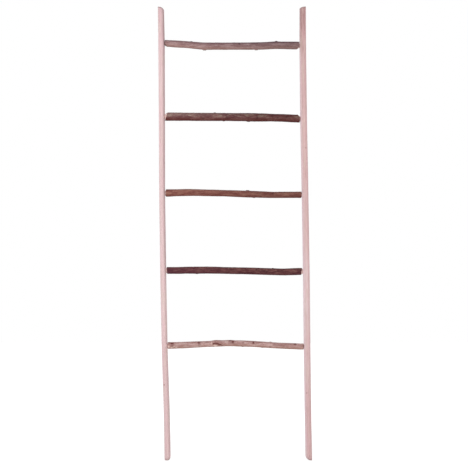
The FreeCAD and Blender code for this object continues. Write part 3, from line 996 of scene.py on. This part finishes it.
def end_grain_material():
    """The poles' sawn ends: gently curved growth bands and fine pores."""
    shader = Shader("end_grain")
    rings = shader.add("ShaderNodeTexWave", Vector=shader.stretched((1, 1, 0)), Scale=95.0,
                       Distortion=1.6, Detail=3.0)
    rings.wave_type = "RINGS"
    rings.rings_direction = "Z"
    pores = shader.noise((1800, 1800, 300), detail=3)
    colour = shader.mixed(rings.outputs["Fac"], SAWN["shade"], SAWN["ground"])
    colour = shader.tinted(colour, SAWN["dark"], pores, 0.4, 0.7, 0.5)
    normal = shader.bump(pores, 0.15 * MM)
    roughness = shader.between(pores, 0.3, 0.7, 0.7, 0.85)
    return shader.finish(colour, roughness, normal, specular=0.25)


# ---------------------------------------------------------------- studio

def grey(level):
    """An even grey, as much of the light as it gives back."""
    return (level, level, level, 1.0)


def only_seen(tree, seen, lit):
    """One shader for what the camera, gloss and glass see, another for what lights the scene."""
    path = tree.nodes.new("ShaderNodeLightPath")
    total = path.outputs["Is Camera Ray"]
    for name in ("Is Glossy Ray", "Is Transmission Ray"):
        add = tree.nodes.new("ShaderNodeMath")
        add.operation = "ADD"
        add.use_clamp = True
        total = fill(add, total, path.outputs[name])
    return fill(tree.nodes.new("ShaderNodeMixShader"), total, lit, seen)


def light_world():
    """White where it is seen, and an even light for the rest."""
    world = bpy.data.worlds.new("studio")
    bpy.context.scene.world = world
    tree = empty_tree(world)
    white = add_node(tree, "ShaderNodeBackground", Color=grey(1.0), Strength=1.0)
    even = add_node(tree, "ShaderNodeBackground", Color=grey(1.0), Strength=WORLD_LIGHT)
    light = only_seen(tree, white.outputs[0], even.outputs[0])
    add_node(tree, "ShaderNodeOutputWorld", Surface=light)


def lay_floor():
    """A plain white floor that keeps the ladder's soft shadow and has no edge to be seen."""
    half = FLOOR_SIZE / 2
    corners = ((-half, -half), (half, -half), (half, half), (-half, half))
    mesh = bpy.data.meshes.new("floor")
    mesh.from_pydata([(x, y, -FLOOR_DROP) for x, y in corners], [], [(0, 1, 2, 3)])
    floor = bpy.data.objects.new("floor", mesh)
    bpy.context.scene.collection.objects.link(floor)
    material = bpy.data.materials.new("floor")
    mesh.materials.append(material)
    tree = empty_tree(material)
    paper = add_node(tree, "ShaderNodeBsdfDiffuse", Color=grey(FLOOR_PAPER))
    coat = add_node(tree, "ShaderNodeBsdfDiffuse", Color=grey(FLOOR_COAT))
    away = tree.nodes.new("ShaderNodeVectorMath")
    away.operation = "LENGTH"
    feed(away, 0, tree.nodes.new("ShaderNodeTexCoord").outputs["Object"])
    strength = fill(tree.nodes.new("ShaderNodeMapRange"), away.outputs["Value"],
                    *GLOW_RISES, FLOOR_GLOW, 1.0)
    glow = add_node(tree, "ShaderNodeEmission", Strength=strength)
    seen = fill(tree.nodes.new("ShaderNodeAddShader"), coat.outputs[0], glow.outputs[0])
    surface = only_seen(tree, seen, paper.outputs[0])
    add_node(tree, "ShaderNodeOutputMaterial", Surface=surface)


def add_lamp(name, place, width, power):
    """A soft box that looks at the ladder."""
    data = bpy.data.lights.new(name, "AREA")
    data.shape = "SQUARE"
    data.size = width
    data.energy = power
    lamp = bpy.data.objects.new(name, data)
    lamp.location = place
    towards = Vector(LAMP_TARGET) - lamp.location
    lamp.rotation_euler = towards.to_track_quat("-Z", "Y").to_euler()
    bpy.context.scene.collection.objects.link(lamp)


def place_camera():
    """Straight on, from far off, with the photograph's framing."""
    data = bpy.data.cameras.new("camera")
    data.sensor_width = SENSOR_WIDTH
    frame_width = PHOTO_PIXELS * MM_PER_PIXEL * MM
    data.lens = SENSOR_WIDTH * CAMERA_DISTANCE / frame_width
    data.clip_end = 3 * CAMERA_DISTANCE
    camera = bpy.data.objects.new("camera", data)
    camera.location = (PHOTO_MIDDLE[0], -CAMERA_DISTANCE, PHOTO_MIDDLE[1])
    camera.rotation_euler = (math.pi / 2, 0, 0)
    bpy.context.scene.collection.objects.link(camera)
    bpy.context.scene.camera = camera


# ---------------------------------------------------------------- the ladder

sawn, end_grain = sawn_material(), end_grain_material()
for side in SIDES:
    make_pole(side, [peeled_material(side), sawn, end_grain])
pared_wood = pared_wood_material()
for rung in RUNGS:
    branch = read_branch(rung)
    make_bark(branch, bark_material(rung))
    make_wood(branch, pared_wood)

bpy.context.scene.view_settings.view_transform = "Standard"
light_world()
lay_floor()
for name, (place, width, power) in LAMPS.items():
    add_lamp(name, place, width, power)
place_camera()
